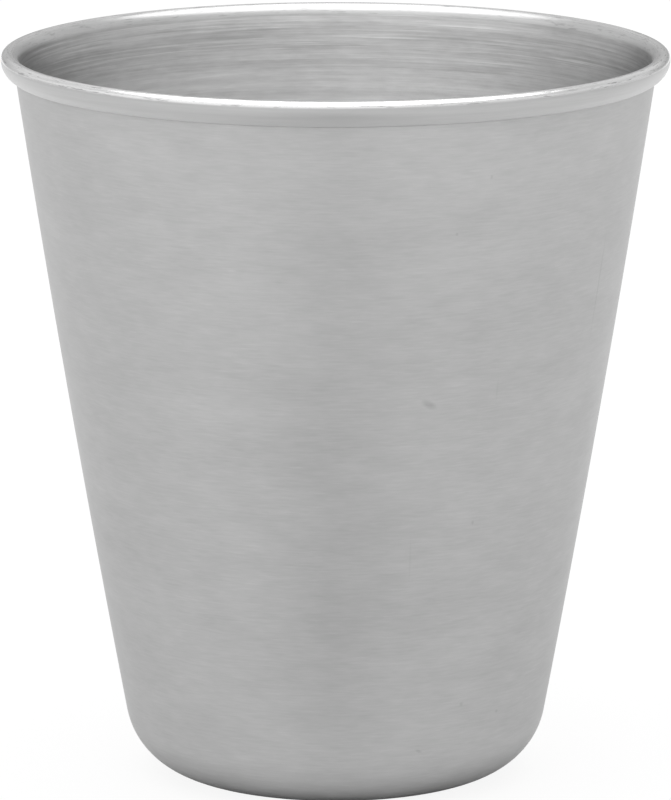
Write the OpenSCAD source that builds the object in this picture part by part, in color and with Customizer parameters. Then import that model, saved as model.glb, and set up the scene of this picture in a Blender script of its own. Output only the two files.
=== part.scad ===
// Small tapered drinking cup, deep drawn from one disc of stainless steel sheet.
// The wall leans outwards and bows a little, the base turns up into it on a large radius,
// and the lip is rolled outwards into a hollow bead whose cut edge comes back to the wall.
// Millimetres, +Z up, origin at the middle of the base on the table.

/* [Cup] */
// Diameter over the rolled rim
rim_d = 45; // [38:0.5:52]
// Height from the table to the top of the rim
cup_h = 49.55; // [40:0.05:60]
// Diameter where the line of the wall would meet the table, before the corner is rounded
base_d = 27.1; // [24:0.1:32]
// Outside radius of the corner between the wall and the base
corner_r = 5.2; // [3:0.1:8]
// How far the wall bows out at its middle
wall_bow = 0.2; // [0.05:0.05:0.5]
// Thickness of the steel sheet
sheet_t = 0.4; // [0.3:0.05:0.5]

/* [Rolled rim] */
// Bend radius, on the hollow side, where the wall flares out into the lip
flare_r = 0.4; // [0.3:0.05:0.6]
// Bend radius, on the hollow side, of the tight fold at the nose of the lip
nose_r = 0.05; // [0.03:0.01:0.2]
// Bend radius, on the hollow side, of the turn that brings the cut edge back to the wall
turn_r = 1; // [0.8:0.05:1.2]
// Gap that is left between the cut edge and the wall
hem_gap = 0.03; // [0.02:0.01:0.1]

/* [Base] */
// Width of the flat ring that the cup stands on
foot_w = 2; // [1:0.1:4]
// Height of the domed panel inside that ring
panel_rise = 0.5; // [0.2:0.1:1]

/* [Hidden] */
steel = [0.70, 0.70, 0.69];
bright_steel = [0.82, 0.82, 0.81];
$fn = 180;

// Straight steps in each rounded stretch of the section
flare_steps = 10;
nose_steps = 8;
turn_steps = 14;
corner_steps = 18;
wall_steps = 14;
panel_steps = 8;

// The section is drawn with radius along x and height along y.
// A lean is the angle between the wall and the cup's axis.
function polar(angle) = [cos(angle), sin(angle)];
function arc(centre, radius, from, to, steps) =
    [for (i = [0 : steps]) centre + radius * polar(from + (to - from) * i / steps)];
function without_first(points) = [for (i = [1 : len(points) - 1]) points[i]];
function without_last(points) = [for (i = [0 : len(points) - 2]) points[i]];

// The curl has three bends, each tangent to the next: the flare up to the top of the lip,
// the nose from there to the widest point, and the turn back in under it.
flare_face_r = flare_r + sheet_t;
nose_face_r = nose_r + sheet_t;
turn_face_r = turn_r + sheet_t;
flare_c = [rim_d / 2 - nose_face_r, cup_h - flare_face_r];
nose_c = [rim_d / 2 - nose_face_r, cup_h - nose_face_r];
turn_c = [rim_d / 2 - turn_face_r, nose_c.y];

// The wall's mean lean, from the base point to the hollow side of the flare
base_point = [base_d / 2, 0];
to_flare = flare_c - base_point;
mean_lean = atan2(to_flare.x, to_flare.y) - asin(flare_r / norm(to_flare));

// The bow turns the wall a little past its mean lean at the foot and short of it at the lip
bow_turn = 2 * atan(2 * wall_bow * cos(mean_lean) / (flare_c.y - corner_r));
foot_lean = mean_lean + bow_turn;
lip_lean = mean_lean - bow_turn;

// The corner is tangent to the table and to the foot of the wall
corner_top_z = corner_r * (1 - sin(foot_lean));
wall_foot = [base_point.x + corner_top_z * tan(mean_lean), corner_top_z];
corner_c = [wall_foot.x - corner_r * cos(foot_lean), corner_r];

// The drawn wall ends and the curl begins on this line across the sheet
flare_start = 180 - lip_lean;
seam_out = flare_c + flare_r * polar(flare_start);
seam_in = flare_c + flare_face_r * polar(flare_start);

// The bow is one arc from the foot of the wall to the seam
bow_r = norm(seam_out - wall_foot) / (2 * sin(bow_turn));
bow_c = wall_foot - bow_r * polar(-foot_lean);

// The turn stops where it is one hem gap away from the wall
turn_to_wall = (turn_c - seam_out) * polar(-lip_lean) - hem_gap;
function turn_end(radius) = -acos(-turn_to_wall / radius) - lip_lean;

// The panel is a shallow dome inside the standing ring
panel_r = corner_c.x - foot_w;
dome_r = (panel_r * panel_r + panel_rise * panel_rise) / (2 * panel_rise);
dome_c = [0, panel_rise - dome_r];
function dome_edge(radius, z) = asin((z - dome_c.y) / radius);

// Base, corner and wall, as the drawing press leaves them
module cup_body() {
    under_side = concat(
        arc(dome_c, dome_r, 90, dome_edge(dome_r, 0), panel_steps),
        arc(corner_c, corner_r, -90, -foot_lean, corner_steps),
        without_first(without_last(arc(bow_c, bow_r, -foot_lean, -lip_lean, wall_steps))),
        [seam_out]
    );
    inner_dome_r = dome_r + sheet_t;
    inner_corner_r = corner_r - sheet_t;
    inner_bow_r = bow_r - sheet_t;
    inside = concat(
        [seam_in],
        without_first(without_last(arc(bow_c, inner_bow_r, -lip_lean, -foot_lean, wall_steps))),
        arc(corner_c, inner_corner_r, -foot_lean, -90, corner_steps),
        arc(dome_c, inner_dome_r, dome_edge(inner_dome_r, sheet_t), 90, panel_steps)
    );
    color(steel) rotate_extrude() polygon(concat(under_side, inside));
}

// The lip, rolled outwards over itself into a hollow bead
module rolled_rim() {
    face = concat(
        [seam_in],
        without_first(arc(flare_c, flare_face_r, flare_start, 90, flare_steps)),
        without_first(arc(nose_c, nose_face_r, 90, 0, nose_steps)),
        without_first(arc(turn_c, turn_face_r, 0, turn_end(turn_face_r), turn_steps))
    );
    hollow_side = concat(
        without_last(arc(turn_c, turn_r, turn_end(turn_r), 0, turn_steps)),
        without_last(arc(nose_c, nose_r, 0, 90, nose_steps)),
        without_last(arc(flare_c, flare_r, 90, flare_start, flare_steps)),
        [seam_out]
    );
    color(bright_steel) rotate_extrude() polygon(concat(face, hollow_side));
}

cup_body();
rolled_rim();
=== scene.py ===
"""A small brushed steel drinking cup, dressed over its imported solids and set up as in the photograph."""

import math

import bpy
import numpy as np
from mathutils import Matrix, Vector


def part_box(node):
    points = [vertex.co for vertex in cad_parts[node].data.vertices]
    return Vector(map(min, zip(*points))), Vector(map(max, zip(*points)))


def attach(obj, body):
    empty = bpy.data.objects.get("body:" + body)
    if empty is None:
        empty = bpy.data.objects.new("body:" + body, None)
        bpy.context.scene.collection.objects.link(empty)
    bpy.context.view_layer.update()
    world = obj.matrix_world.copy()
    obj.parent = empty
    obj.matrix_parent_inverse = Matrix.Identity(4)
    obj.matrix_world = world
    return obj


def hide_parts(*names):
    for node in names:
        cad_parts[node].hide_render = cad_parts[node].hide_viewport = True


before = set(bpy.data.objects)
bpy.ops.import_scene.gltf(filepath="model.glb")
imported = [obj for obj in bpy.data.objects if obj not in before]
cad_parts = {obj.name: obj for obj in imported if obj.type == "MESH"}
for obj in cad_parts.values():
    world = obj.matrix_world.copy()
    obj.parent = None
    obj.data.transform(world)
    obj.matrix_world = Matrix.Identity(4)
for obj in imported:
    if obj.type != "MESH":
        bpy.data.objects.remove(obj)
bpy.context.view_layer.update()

# The cup body: base, corner and wall, deep drawn from one disc of stainless steel sheet and
# brushed while it spins, so the grain runs round it. The inside keeps the coarser rings of
# the forming tool. It stands on a narrow ring, with a shallow dome pressed up inside that.

MM = 0.001
MICRON = 0.001 * MM
rim_radius, _, rim_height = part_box("rolled_rim")[1]
sheet = 0.4 * MM
base_radius = 13.55 * MM
corner_radius = 5.2 * MM
wall_bow = 0.2 * MM
foot_width = 2 * MM
panel_rise = 0.5 * MM
flare_bend = 0.4 * MM
nose_bend = 0.05 * MM


def polar(angle):
    """Unit vectors (cosine, sine) at the given angles, in the section's (radius, height) plane."""
    return np.stack([np.cos(angle), np.sin(angle)], axis=-1)


def arc(centre, radius, start, end, steps):
    """Points on a circle in the section: centre plus radius times the unit vector from start to end."""
    return np.asarray(centre) + radius * polar(np.linspace(start, end, steps + 1))


# The section repeats the solids: the wall runs from the base point, tangent to the flare of
# the lip, and a bow turns it a little past that lean at the foot and short of it at the lip.
flare_centre = np.array([rim_radius - nose_bend - sheet, rim_height - flare_bend - sheet])
to_flare = flare_centre - (base_radius, 0)
mean_lean = math.atan2(*to_flare) - math.asin(flare_bend / np.hypot(*to_flare))
bow_turn = 2 * math.atan(2 * wall_bow * math.cos(mean_lean) / (flare_centre[1] - corner_radius))
foot_lean = mean_lean + bow_turn
lip_lean = mean_lean - bow_turn
corner_top = corner_radius * (1 - math.sin(foot_lean))
wall_foot = np.array([base_radius + corner_top * math.tan(mean_lean), corner_top])
corner_centre = np.array([wall_foot[0] - corner_radius * math.cos(foot_lean), corner_radius])
seam_outside = flare_centre + flare_bend * polar(math.pi - lip_lean)
seam_inside = flare_centre + (flare_bend + sheet) * polar(math.pi - lip_lean)
bow_radius = np.hypot(*(seam_outside - wall_foot)) / (2 * math.sin(bow_turn))
bow_centre = wall_foot - bow_radius * polar(-foot_lean)
panel_radius = corner_centre[0] - foot_width
dome_radius = (panel_radius**2 + panel_rise**2) / (2 * panel_rise)
dome_centre = np.array([0, panel_rise - dome_radius])


def dome_edge(radius, height):
    """Angle at which the panel's circle of that radius comes down to that height."""
    return math.asin((height - dome_centre[1]) / radius)


# The forming rings: the depth of each wave, its turn in radians for a metre of height, and
# the heights at which the rings start, are full, begin to fade and end.
long_ring_depth = 2 * MICRON
long_ring_turn = 2.4 / MM
short_ring_depth = 1.5 * MICRON
short_ring_turn = 5.3 / MM
short_ring_phase = 1
rings_start = 4 * MM
rings_full = 12 * MM
rings_fade = 47.1 * MM
rings_end = 48.6 * MM


def tool_rings(points):
    """Moves points of the inner wall outwards by two sine waves of height, of unlike lengths, which
    fade out towards the base and the lip."""
    height = points[:, 1]
    fade_in = np.clip((height - rings_start) / (rings_full - rings_start), 0, 1)
    fade_out = np.clip((rings_end - height) / (rings_end - rings_fade), 0, 1)
    long_wave = long_ring_depth * np.sin(height * long_ring_turn)
    short_wave = short_ring_depth * np.sin(height * short_ring_turn + short_ring_phase)
    return points + np.outer(fade_in * fade_out * (long_wave + short_wave), (1, 0))


corner_steps = 22
wall_steps = 60
inner_wall_steps = 200
panel_steps = 10
outside = np.vstack([
    arc(dome_centre, dome_radius, math.pi / 2, dome_edge(dome_radius, 0), panel_steps),
    arc(corner_centre, corner_radius, -math.pi / 2, -foot_lean, corner_steps),
    arc(bow_centre, bow_radius, -foot_lean, -lip_lean, wall_steps)[1:-1],
    [seam_outside],
])
inner_wall = arc(bow_centre, bow_radius - sheet, -lip_lean, -foot_lean, inner_wall_steps)[1:-1]
inner_dome = dome_radius + sheet
inside = np.vstack([
    [seam_inside],
    tool_rings(inner_wall),
    arc(corner_centre, corner_radius - sheet, -foot_lean, -math.pi / 2, corner_steps),
    arc(dome_centre, inner_dome, dome_edge(inner_dome, sheet), math.pi / 2, panel_steps),
])


def revolved(name, section, turns, closed, sharp):
    """A mesh carried round the Z axis: point (r, z) of the section goes to (r cos a, r sin a, z) for
    evenly spaced angles a, and neighbours join as quads. A closed section is a ring. An open one
    starts and ends on the axis, where a fan of triangles closes it. The rings of edges at the
    section points in sharp keep a hard edge."""
    angle = np.arange(turns) * 2 * np.pi / turns
    rings = section if closed else section[1:-1]
    radius, height = rings[:, 0, None], rings[:, 1, None]
    grid = np.stack(np.broadcast_arrays(radius * np.cos(angle), radius * np.sin(angle), height), axis=-1)
    points = grid.reshape(-1, 3)
    count = len(rings)
    row = np.arange(count if closed else count - 1)[:, None]
    column = np.arange(turns)[None]
    beside = (column + 1) % turns
    above = (row + 1) % count
    corners = (row * turns + column, row * turns + beside, above * turns + beside, above * turns + column)
    faces = np.stack(np.broadcast_arrays(*corners), axis=-1).reshape(-1, 4).tolist()
    if not closed:
        poles = np.array([[0, 0, section[0, 1]], [0, 0, section[-1, 1]]])
        first, last = len(points), len(points) + 1
        points = np.vstack([points, poles])
        lower = np.stack([np.full(turns, first), beside[0], column[0]], axis=-1)
        top_row = (count - 1) * turns
        upper = np.stack([np.full(turns, last), top_row + column[0], top_row + beside[0]], axis=-1)
        faces += lower.tolist() + upper.tolist()
    mesh = bpy.data.meshes.new(name)
    mesh.from_pydata(points, [], faces)
    mesh.shade_smooth()
    ends = np.empty(len(mesh.edges) * 2, dtype=np.int32)
    mesh.edges.foreach_get("vertices", ends)
    first_row, second_row = (ends.reshape(-1, 2) // turns).T
    hard = (first_row == second_row) & np.isin(first_row, np.asarray(sharp) - (0 if closed else 1))
    mesh.attributes.new("sharp_edge", "BOOLEAN", "EDGE").data.foreach_set("value", hard)
    piece = bpy.data.objects.new(name, mesh)
    bpy.context.scene.collection.objects.link(piece)
    return piece


cup_turns = 240
cup_section = np.vstack([outside, inside])
outer_edge = len(outside) - 1
cup_edges = (outer_edge, outer_edge + 1)
cup = revolved("cup_body_steel", cup_section, cup_turns, False, cup_edges)

# The rings of points inside follow those outside, and the last two points are the poles of the
# dome, the outer one first.
is_inside = np.zeros(len(cup.data.vertices), dtype=np.float32)
is_inside[outer_edge * cup_turns:-2] = 1
is_inside[-1] = 1
cup.data.attributes.new("inside", "FLOAT", "POINT").data.foreach_set("value", is_inside)


class Wire:
    """A socket in a shader tree. Arithmetic with numbers or other wires adds Math nodes to the tree."""

    def __init__(self, tree, socket=None):
        self.tree = tree
        self.socket = socket

    def node(self, kind, output, settings, inputs):
        """Adds a node: its type, the output wanted, settings that are set first, and socket values
        or wires."""
        made = self.tree.nodes.new("ShaderNode" + kind)
        for name, value in settings.items():
            setattr(made, name, value)
        for name, value in inputs.items():
            if isinstance(value, Wire):
                self.tree.links.new(value.socket, made.inputs[name])
            else:
                made.inputs[name].default_value = value
        return Wire(self.tree, made.outputs[output])

    def math(self, operation, first, second):
        return self.node("Math", 0, {"operation": operation}, {0: first, 1: second})

    def __add__(self, other):
        return self.math("ADD", self, other)

    def __radd__(self, other):
        return self.math("ADD", other, self)

    def __sub__(self, other):
        return self.math("SUBTRACT", self, other)

    def __rsub__(self, other):
        return self.math("SUBTRACT", other, self)

    def __mul__(self, other):
        return self.math("MULTIPLY", self, other)

    def __rmul__(self, other):
        return self.math("MULTIPLY", other, self)


def new_steel(name):
    """An empty steel material: returns it, its shader node and a wire to build its pattern with."""
    material = bpy.data.materials.new(name)
    material.use_nodes = True
    shader = material.node_tree.nodes["Principled BSDF"]
    shader.inputs["Metallic"].default_value = 1
    return material, shader, Wire(material.node_tree)


def plug(wire, shader, name):
    """Links a wire to the named input of a shader node."""
    wire.tree.links.new(wire.socket, shader.inputs[name])


def grey(wire, level):
    """A neutral colour of that brightness: a Mix node, whose inputs 6 and 7 are its two colours and
    whose output 2 is their mix, goes from black to white by level."""
    return wire.node("Mix", 2, {"data_type": "RGBA"}, {0: level, 6: (0, 0, 0, 1), 7: (1, 1, 1, 1)})


def rises(wire, value, start, end):
    """0 where the value is below start and 1 where it is past end, with a smooth step between. It falls
    instead of rising where end is the smaller number."""
    step = {"Value": value, "From Min": start, "From Max": end, "To Min": 0, "To Max": 1}
    return wire.node("MapRange", 0, {"interpolation_type": "SMOOTHSTEP"}, step)


def length(wire, vector):
    """The length of a vector."""
    return wire.node("VectorMath", "Value", {"operation": "LENGTH"}, {0: vector})


def grain(wire, along, across, detail, offset=0):
    """Streaks that run round the cup, about -0.5 to 0.5: noise on Object coordinates whose cells are
    along metres long in X and Y and across metres high in Z. Its fourth axis is the distance from the
    cup's axis, with cells of the same height, so that flat faces get rings. It has no seam. An offset
    takes another part of the noise, so that two grains don't coincide."""
    place = wire.node("TexCoord", "Object", {}, {})
    scale = (1 / along, 1 / along, 1 / across)
    shift = (offset, offset, offset)
    stretched = wire.node("Mapping", "Vector", {}, {"Vector": place, "Scale": scale, "Location": shift})
    level_place = wire.node("VectorMath", "Vector", {"operation": "MULTIPLY"}, {0: place, 1: (1, 1, 0)})
    noise = {
        "Vector": stretched,
        "W": length(wire, level_place) * (1 / across),
        "Scale": 1,
        "Detail": detail,
        "Roughness": 0.6,
    }
    return wire.node("TexNoise", 0, {"noise_dimensions": "4D"}, noise) - 0.5


def wall_radius(height):
    """Radius of the outer wall at a height, from the circle of the bow."""
    return bow_centre[0] + math.sqrt(bow_radius**2 - (height - bow_centre[1]) ** 2)


mark_depth = 1 * MM
mark_core = 0.2


def mark(wire, turn, height, half_width, half_height, tilt=0):
    """A soft spot on the outer wall: 1 in its core and 0 at its edge, an ellipsoid that is turned
    round the cup by turn degrees from the front and tilted by tilt degrees in the wall."""
    angle = math.radians(turn)
    radius = wall_radius(height)
    lie = {
        "Vector": wire.node("TexCoord", "Object", {}, {}),
        "Location": (radius * math.sin(angle), -radius * math.cos(angle), height),
        "Rotation": (0, math.radians(tilt), angle),
        "Scale": (half_width, mark_depth, half_height),
    }
    own_place = wire.node("Mapping", "Vector", {"vector_type": "TEXTURE"}, lie)
    return rises(wire, length(wire, own_place), 1, mark_core)


brushed, brushed_shader, wire = new_steel("brushed_sheet")
inside_mask = wire.node("Attribute", "Fac", {"attribute_name": "inside"}, {})
height = wire.node("SeparateXYZ", "Z", {}, {0: wire.node("TexCoord", "Object", {}, {})})

# Outside, fine brush lines and a few brighter strokes lie over soft mottling and broad clouds.
fine = grain(wire, along=1.4 * MM, across=0.12 * MM, detail=3)
mottle = grain(wire, along=2 * MM, across=0.7 * MM, detail=2, offset=13)
cloud = grain(wire, along=8 * MM, across=3 * MM, detail=2, offset=7)
stroke_noise = grain(wire, along=1.8 * MM, across=0.08 * MM, detail=1, offset=37)
strokes = rises(wire, stroke_noise, 0.14, 0.24)
brushing = 0.12 * fine + 0.065 * mottle + 0.08 * cloud + 0.025 * strokes

# Painted light: the wall's colour is a shade lighter towards the rim and in a band above the base corner.
painted_light_near_rim = rises(wire, height, 38 * MM, 46 * MM)
painted_light_above_corner = rises(wire, height, 15 * MM, 8 * MM) * rises(wire, height, 1.5 * MM, 4 * MM)

# Wear: a smudge, some specks, a long scratch and two short faint ones. Painted shade darkens the
# lowest 1.2 mm of the cup, standing ring and bottom, and the wall just under the hem.
smudge = mark(wire, 19.3, 28.75 * MM, 0.8 * MM, 0.36 * MM, tilt=30)
high_specks = mark(wire, 29, 44 * MM, 0.15 * MM, 0.2 * MM) + mark(wire, 22.8, 40.3 * MM, 0.15 * MM, 0.15 * MM)
middle_speck = mark(wire, 32, 20.2 * MM, 0.15 * MM, 0.2 * MM)
low_specks = mark(wire, 34.5, 7.3 * MM, 0.2 * MM, 0.2 * MM) + mark(wire, 47.5, 6.25 * MM, 0.2 * MM, 0.15 * MM)
foot_speck = mark(wire, 22.8, 4.3 * MM, 0.35 * MM, 0.15 * MM, tilt=25)
specks = high_specks + middle_speck + low_specks + foot_speck
long_scratch = mark(wire, 63.2, 35.3 * MM, 0.12 * MM, 7 * MM)
middle_scratch = mark(wire, 34.8, 29.25 * MM, 0.12 * MM, 1.2 * MM)
low_scratch = mark(wire, 17.1, 18 * MM, 0.09 * MM, 2.7 * MM, tilt=-1)
# Painted shade: the lowest 1.2 mm of the cup, with the whole bottom, is darker.
painted_foot_shade = rises(wire, height, 1.2 * MM, 0)
# Painted shade: the top of the wall, in the crease under the hem, is darker.
painted_hem_shade = rises(wire, height, 47.45 * MM, 47.75 * MM)
scratches = 0.05 * long_scratch + 0.02 * (middle_scratch + low_scratch)
wear_and_painted_shade = 0.08 * smudge + 0.06 * specks + scratches + 0.12 * painted_foot_shade + 0.025 * painted_hem_shade
outside_steel = 0.434
outside_level = outside_steel + brushing + 0.016 * painted_light_above_corner + 0.014 * painted_light_near_rim - wear_and_painted_shade

# Inside, long rings, some of them bright, are strongest near the lip. Short breaks and broad bands
# vary them. Painted light makes the wall's colour lighter under the lip and below the rings, and
# painted shade makes the base darker.
rings = grain(wire, along=10 * MM, across=0.16 * MM, detail=4, offset=3)
bright_noise = grain(wire, along=7 * MM, across=0.09 * MM, detail=1, offset=5)
bright_rings = rises(wire, bright_noise, 0.12, 0.22)
bands = grain(wire, along=25 * MM, across=0.6 * MM, detail=2, offset=23)
breaks = grain(wire, along=1.5 * MM, across=0.35 * MM, detail=2, offset=31)
upper_wall = rises(wire, height, 43.5 * MM, 47.5 * MM)
ring_marks = (0.12 + 0.42 * upper_wall) * rings + (0.03 + 0.09 * upper_wall) * bright_rings
streaks = ring_marks + 0.14 * fine + 0.3 * bands + 0.16 * breaks + 0.12 * cloud
# Painted light under the lip and below the rings, and painted shade on the base.
painted_light_under_lip = rises(wire, height, 46.8 * MM, 49 * MM)
painted_light_below_rings = rises(wire, height, 46 * MM, 42.6 * MM) * rises(wire, height, 20 * MM, 38 * MM)
painted_base_shade = rises(wire, height, 9 * MM, 2 * MM)
inside_steel = 0.545
inside_level = inside_steel + 0.06 * painted_light_under_lip + 0.1 * painted_light_below_rings - 0.15 * painted_base_shade + streaks

level = outside_level + inside_mask * (inside_level - outside_level)
plug(grey(wire, level), brushed_shader, "Base Color")
plug(0.4 + 0.1 * fine - 0.08 * inside_mask, brushed_shader, "Roughness")
brushed_shader.inputs["Anisotropic"].default_value = 0.7
brushed_shader.inputs["Anisotropic Rotation"].default_value = 0.25
brushed_shader.inputs["Specular Tint"].default_value = (0.84, 0.84, 0.84, 1)
relief = fine * (1 - inside_mask) + 2 * rings * inside_mask
bump = wire.node("Bump", "Normal", {}, {"Strength": 0.2, "Distance": 0.02 * MM, "Height": relief})
plug(bump, brushed_shader, "Normal")
cup.data.materials.append(brushed)
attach(cup, "root")
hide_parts("cup_body")

# The rolled rim: the lip of the same sheet, curled outwards over itself into a hollow bead.
# Its cut edge comes back to the wall a hair's breadth away, which leaves the fine hem line,
# and the top of the lip is buffed bright.

turn_bend = 1 * MM
hem_gap = 0.03 * MM
nose_centre = np.array([flare_centre[0], rim_height - nose_bend - sheet])
turn_centre = np.array([rim_radius - turn_bend - sheet, nose_centre[1]])
turn_to_wall = (turn_centre - seam_outside) @ polar(-lip_lean) - hem_gap


def turn_end(radius):
    """Angle at which the lower turn of that radius meets the line one hem gap outside the wall."""
    return -math.acos(-turn_to_wall / radius) - lip_lean


flare_steps = 16
nose_steps = 30
turn_steps = 24


def curl(offset):
    """Points along the curl from the wall to its cut edge: the flare up to the top of the lip, the
    nose down to the widest point and the turn back to the wall, offset from its hollow side."""
    end = turn_end(turn_bend + offset)
    return np.vstack([
        arc(flare_centre, flare_bend + offset, math.pi - lip_lean, math.pi / 2, flare_steps),
        arc(nose_centre, nose_bend + offset, math.pi / 2, 0, nose_steps)[1:],
        arc(turn_centre, turn_bend + offset, 0, end, turn_steps)[1:],
    ])


face = curl(sheet)
hollow_side = curl(0)
rim_section = np.vstack([hollow_side, face[::-1]])
rim_edges = (0, len(face) - 1, len(face), len(rim_section) - 1)
rim_turns = 360
rim = revolved("rolled_rim_steel", rim_section, rim_turns, True, rim_edges)


def paint(piece, name, face_values):
    """Stores one value for each point of the curl's face as an attribute, with 0 on its hollow side."""
    values = np.concatenate([np.zeros(len(hollow_side)), face_values[::-1]])
    piece.data.attributes.new(name, "FLOAT", "POINT").data.foreach_set("value", np.repeat(values, rim_turns))


# The buffing wheel rides over the lip to just above its widest point and touches the flare less
# and less towards the wall. Under the turn the steel's colour is painted lighter, painted light
# against the shade that falls under the bead. Tilts are in degrees: from the top of the lip over
# the nose, and from the widest point on the turn.
buff_end = 88
buff_fade = 15
flare_least = 0.4
painted_light_start = 28
painted_light_full = 52
painted_light_fade = 63
painted_light_end = 77
nose_tilt = np.linspace(0, 90, nose_steps + 1)[1:]
nose_buff = np.clip((buff_end - nose_tilt) / buff_fade, 0, 1)
flare_buff = flare_least + (1 - flare_least) * np.linspace(0, 1, flare_steps + 1) ** 5
paint(rim, "buffed", np.concatenate([flare_buff, nose_buff, np.zeros(turn_steps)]))
turn_tilt = -np.degrees(np.linspace(0, turn_end(turn_bend + sheet), turn_steps + 1)[1:])
painted_light_in = np.clip((turn_tilt - painted_light_start) / (painted_light_full - painted_light_start), 0, 1)
painted_light_out = np.clip((painted_light_end - turn_tilt) / (painted_light_end - painted_light_fade), 0, 1)
paint(rim, "painted_turn_light", np.concatenate([np.zeros(flare_steps + 1 + nose_steps), painted_light_in * painted_light_out]))

# The buffed lip is brighter and smoother, and shows fine lines and small dark nicks.
polished, polished_shader, wire = new_steel("polished_lip")
buffed = wire.node("Attribute", "Fac", {"attribute_name": "buffed"}, {})
painted_turn_light = wire.node("Attribute", "Fac", {"attribute_name": "painted_turn_light"}, {})
lines = grain(wire, along=4 * MM, across=0.12 * MM, detail=3, offset=11)
nick_noise = grain(wire, along=1.2 * MM, across=0.12 * MM, detail=2, offset=17)
nicks = rises(wire, nick_noise, 0.06, 0.16)
# Under the turn the colour carries painted light, and the steel there is rougher.
lip_polish_and_painted_light = 0.44 + 0.36 * buffed + 0.15 * painted_turn_light
scores = (0.1 + 0.3 * buffed) * lines - 0.3 * buffed * nicks
plug(grey(wire, lip_polish_and_painted_light + scores), polished_shader, "Base Color")
plug(0.36 - 0.16 * buffed + 0.2 * painted_turn_light + 0.1 * lines, polished_shader, "Roughness")
polished_shader.inputs["Anisotropic"].default_value = 0.5
polished_shader.inputs["Anisotropic Rotation"].default_value = 0.25
rim.data.materials.append(polished)
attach(rim, "root")
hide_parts("rolled_rim")

# The studio: a white paper floor that keeps a faint shadow, with painted shade in two darker ovals in front
# of the cup.
# Light comes from all round, a little stronger from the front and weaker low down behind, with a
# large soft lamp overhead and a weak wide one at the left front.

floor_size = 3
floor_drop = 0.01 * MM
floor_mesh = bpy.data.meshes.new("floor")
floor_corners = np.array([(-1, -1, 0), (1, -1, 0), (1, 1, 0), (-1, 1, 0)]) * floor_size / 2
floor_mesh.from_pydata(floor_corners - (0, 0, floor_drop), [], [(0, 1, 2, 3)])
floor = bpy.data.objects.new("floor", floor_mesh)
bpy.context.scene.collection.objects.link(floor)
paper = bpy.data.materials.new("floor_paper")
paper.use_nodes = True
paper_shader = paper.node_tree.nodes["Principled BSDF"]
paper_shader.inputs["Roughness"].default_value = 0.9
paper_shader.inputs["Specular IOR Level"].default_value = 0.1
wire = Wire(paper.node_tree)
place = wire.node("TexCoord", "Object", {}, {})


def oval(wire, place, ahead, half_width, half_length):
    """1 in the middle of an oval on the floor that lies ahead metres in front of the cup's axis,
    falling smoothly to 0 at its edge."""
    lie = {"Vector": place, "Location": (0, -ahead, 0), "Scale": (half_width, half_length, 1)}
    own_place = wire.node("Mapping", "Vector", {"vector_type": "TEXTURE"}, lie)
    return rises(wire, length(wire, own_place), 1, 0)


# Painted shade: the paper is darker in a wide oval and a small near one, which the wall mirrors.
wide_painted_shade = oval(wire, place, 60 * MM, 42 * MM, 68 * MM)
near_painted_shade = oval(wire, place, 30 * MM, 15 * MM, 16 * MM)
plug(grey(wire, 0.94 - 0.44 * wide_painted_shade - 0.1 * near_painted_shade), paper_shader, "Base Color")

# The camera and the steel see the floor mostly as plain white, and the rest of it as lit paper, which
# keeps the shadow. The white that the steel mirrors fades out under the base and far off, and is
# weaker in the near oval of painted shade.
shade_middle = (0, 4 * MM, 0)
from_shade = wire.node("VectorMath", "Value", {"operation": "DISTANCE"}, {0: place, 1: shade_middle})
past_base = rises(wire, from_shade, 15 * MM, 18.5 * MM)
far_off = rises(wire, from_shade, 45 * MM, 110 * MM)
mirrored = (0.68 - 0.2 * near_painted_shade) * past_base - 0.45 * far_off
camera_ray = wire.node("LightPath", "Is Camera Ray", {}, {})
glossy_ray = wire.node("LightPath", "Is Glossy Ray", {}, {})
clear_ray = wire.node("LightPath", "Is Transmission Ray", {}, {})
whiteness = 0.9 * camera_ray + mirrored * glossy_ray + 0.9 * clear_ray
white = wire.node("Emission", 0, {}, {"Color": (1, 1, 1, 1), "Strength": 1})
lit_paper = Wire(paper.node_tree, paper_shader.outputs[0])
floor_look = wire.node("MixShader", 0, {}, {0: whiteness, 1: lit_paper, 2: white})
plug(floor_look, paper.node_tree.nodes["Material Output"], "Surface")
floor.data.materials.append(paper)

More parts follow.
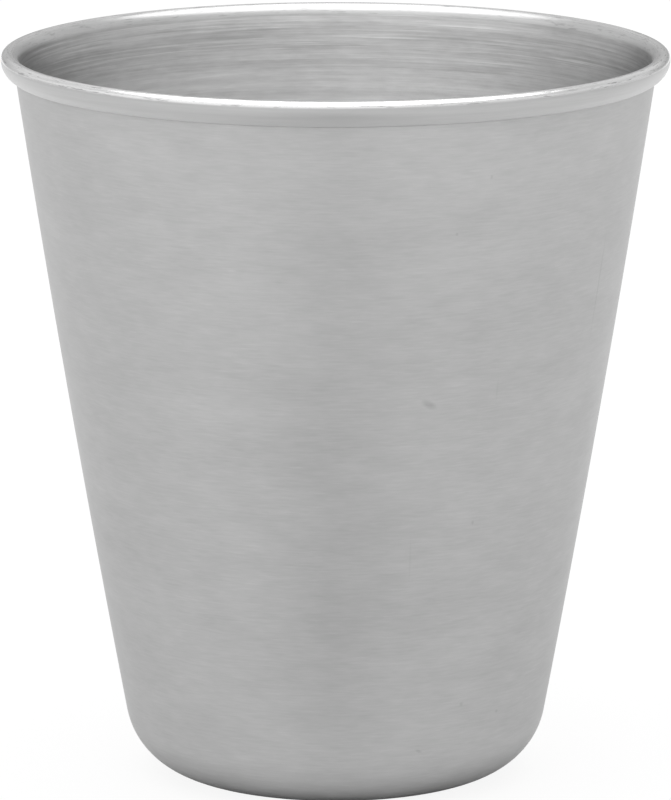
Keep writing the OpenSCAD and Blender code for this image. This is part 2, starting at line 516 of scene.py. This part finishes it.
world = bpy.data.worlds.new("studio")
world.use_nodes = True
bpy.context.scene.world = world
backdrop = world.node_tree.nodes["Background"]
backdrop.inputs["Color"].default_value = (1, 1, 1, 1)
wire = Wire(world.node_tree)
direction = wire.node("TexCoord", "Generated", {}, {})
right = wire.node("SeparateXYZ", "X", {}, {0: direction})
behind = wire.node("SeparateXYZ", "Y", {}, {0: direction})
up = wire.node("SeparateXYZ", "Z", {}, {0: direction})
low_behind = rises(wire, behind, 0.6, 0.95) * rises(wire, up, 0.4, 0.1)
all_round = 0.8 - 0.13 * behind + 0.1 * behind * behind - 0.05 * right
plug(all_round - 0.3 * low_behind, backdrop, "Strength")


def add_lamp(name, size, power, place, tilt):
    """A round soft lamp of that diameter and power in watts. It looks straight down when tilt is zero,
    and tilt turns it about the X, Y and Z axes, in degrees."""
    lamp_data = bpy.data.lights.new(name, "AREA")
    lamp_data.shape = "DISK"
    lamp_data.size = size
    lamp_data.energy = power
    lamp = bpy.data.objects.new(name, lamp_data)
    lamp.location = place
    lamp.rotation_euler = [math.radians(angle) for angle in tilt]
    bpy.context.scene.collection.objects.link(lamp)


add_lamp("overhead", 1.3, 5.42, (0, 0, 0.8), (0, 0, 0))
add_lamp("front", 1.8, 1.12, (-0.6, -0.55, 0.6), (53, 0, -47))

# The camera: a long lens half a metre away, looking a little down at the middle of the cup.
# Its focal length is in pixels of the picture, which is taller than wide, so that the sensor's
# width spans the picture's height.

camera_distance = 0.5
camera_elevation = math.radians(11.411)
aim_height = 25.533 * MM
focal_pixels = 7368.8
image_height = 800
camera_data = bpy.data.cameras.new("camera")
camera_data.sensor_width = 36
camera_data.lens = focal_pixels / image_height * camera_data.sensor_width
camera_data.clip_start = 10 * MM
camera = bpy.data.objects.new("camera", camera_data)
camera.location = (
    0,
    -camera_distance * math.cos(camera_elevation),
    aim_height + camera_distance * math.sin(camera_elevation),
)
camera.rotation_euler = (math.pi / 2 - camera_elevation, 0, 0)
bpy.context.scene.collection.objects.link(camera)
bpy.context.scene.camera = camera
bpy.context.scene.view_settings.view_transform = "Standard"
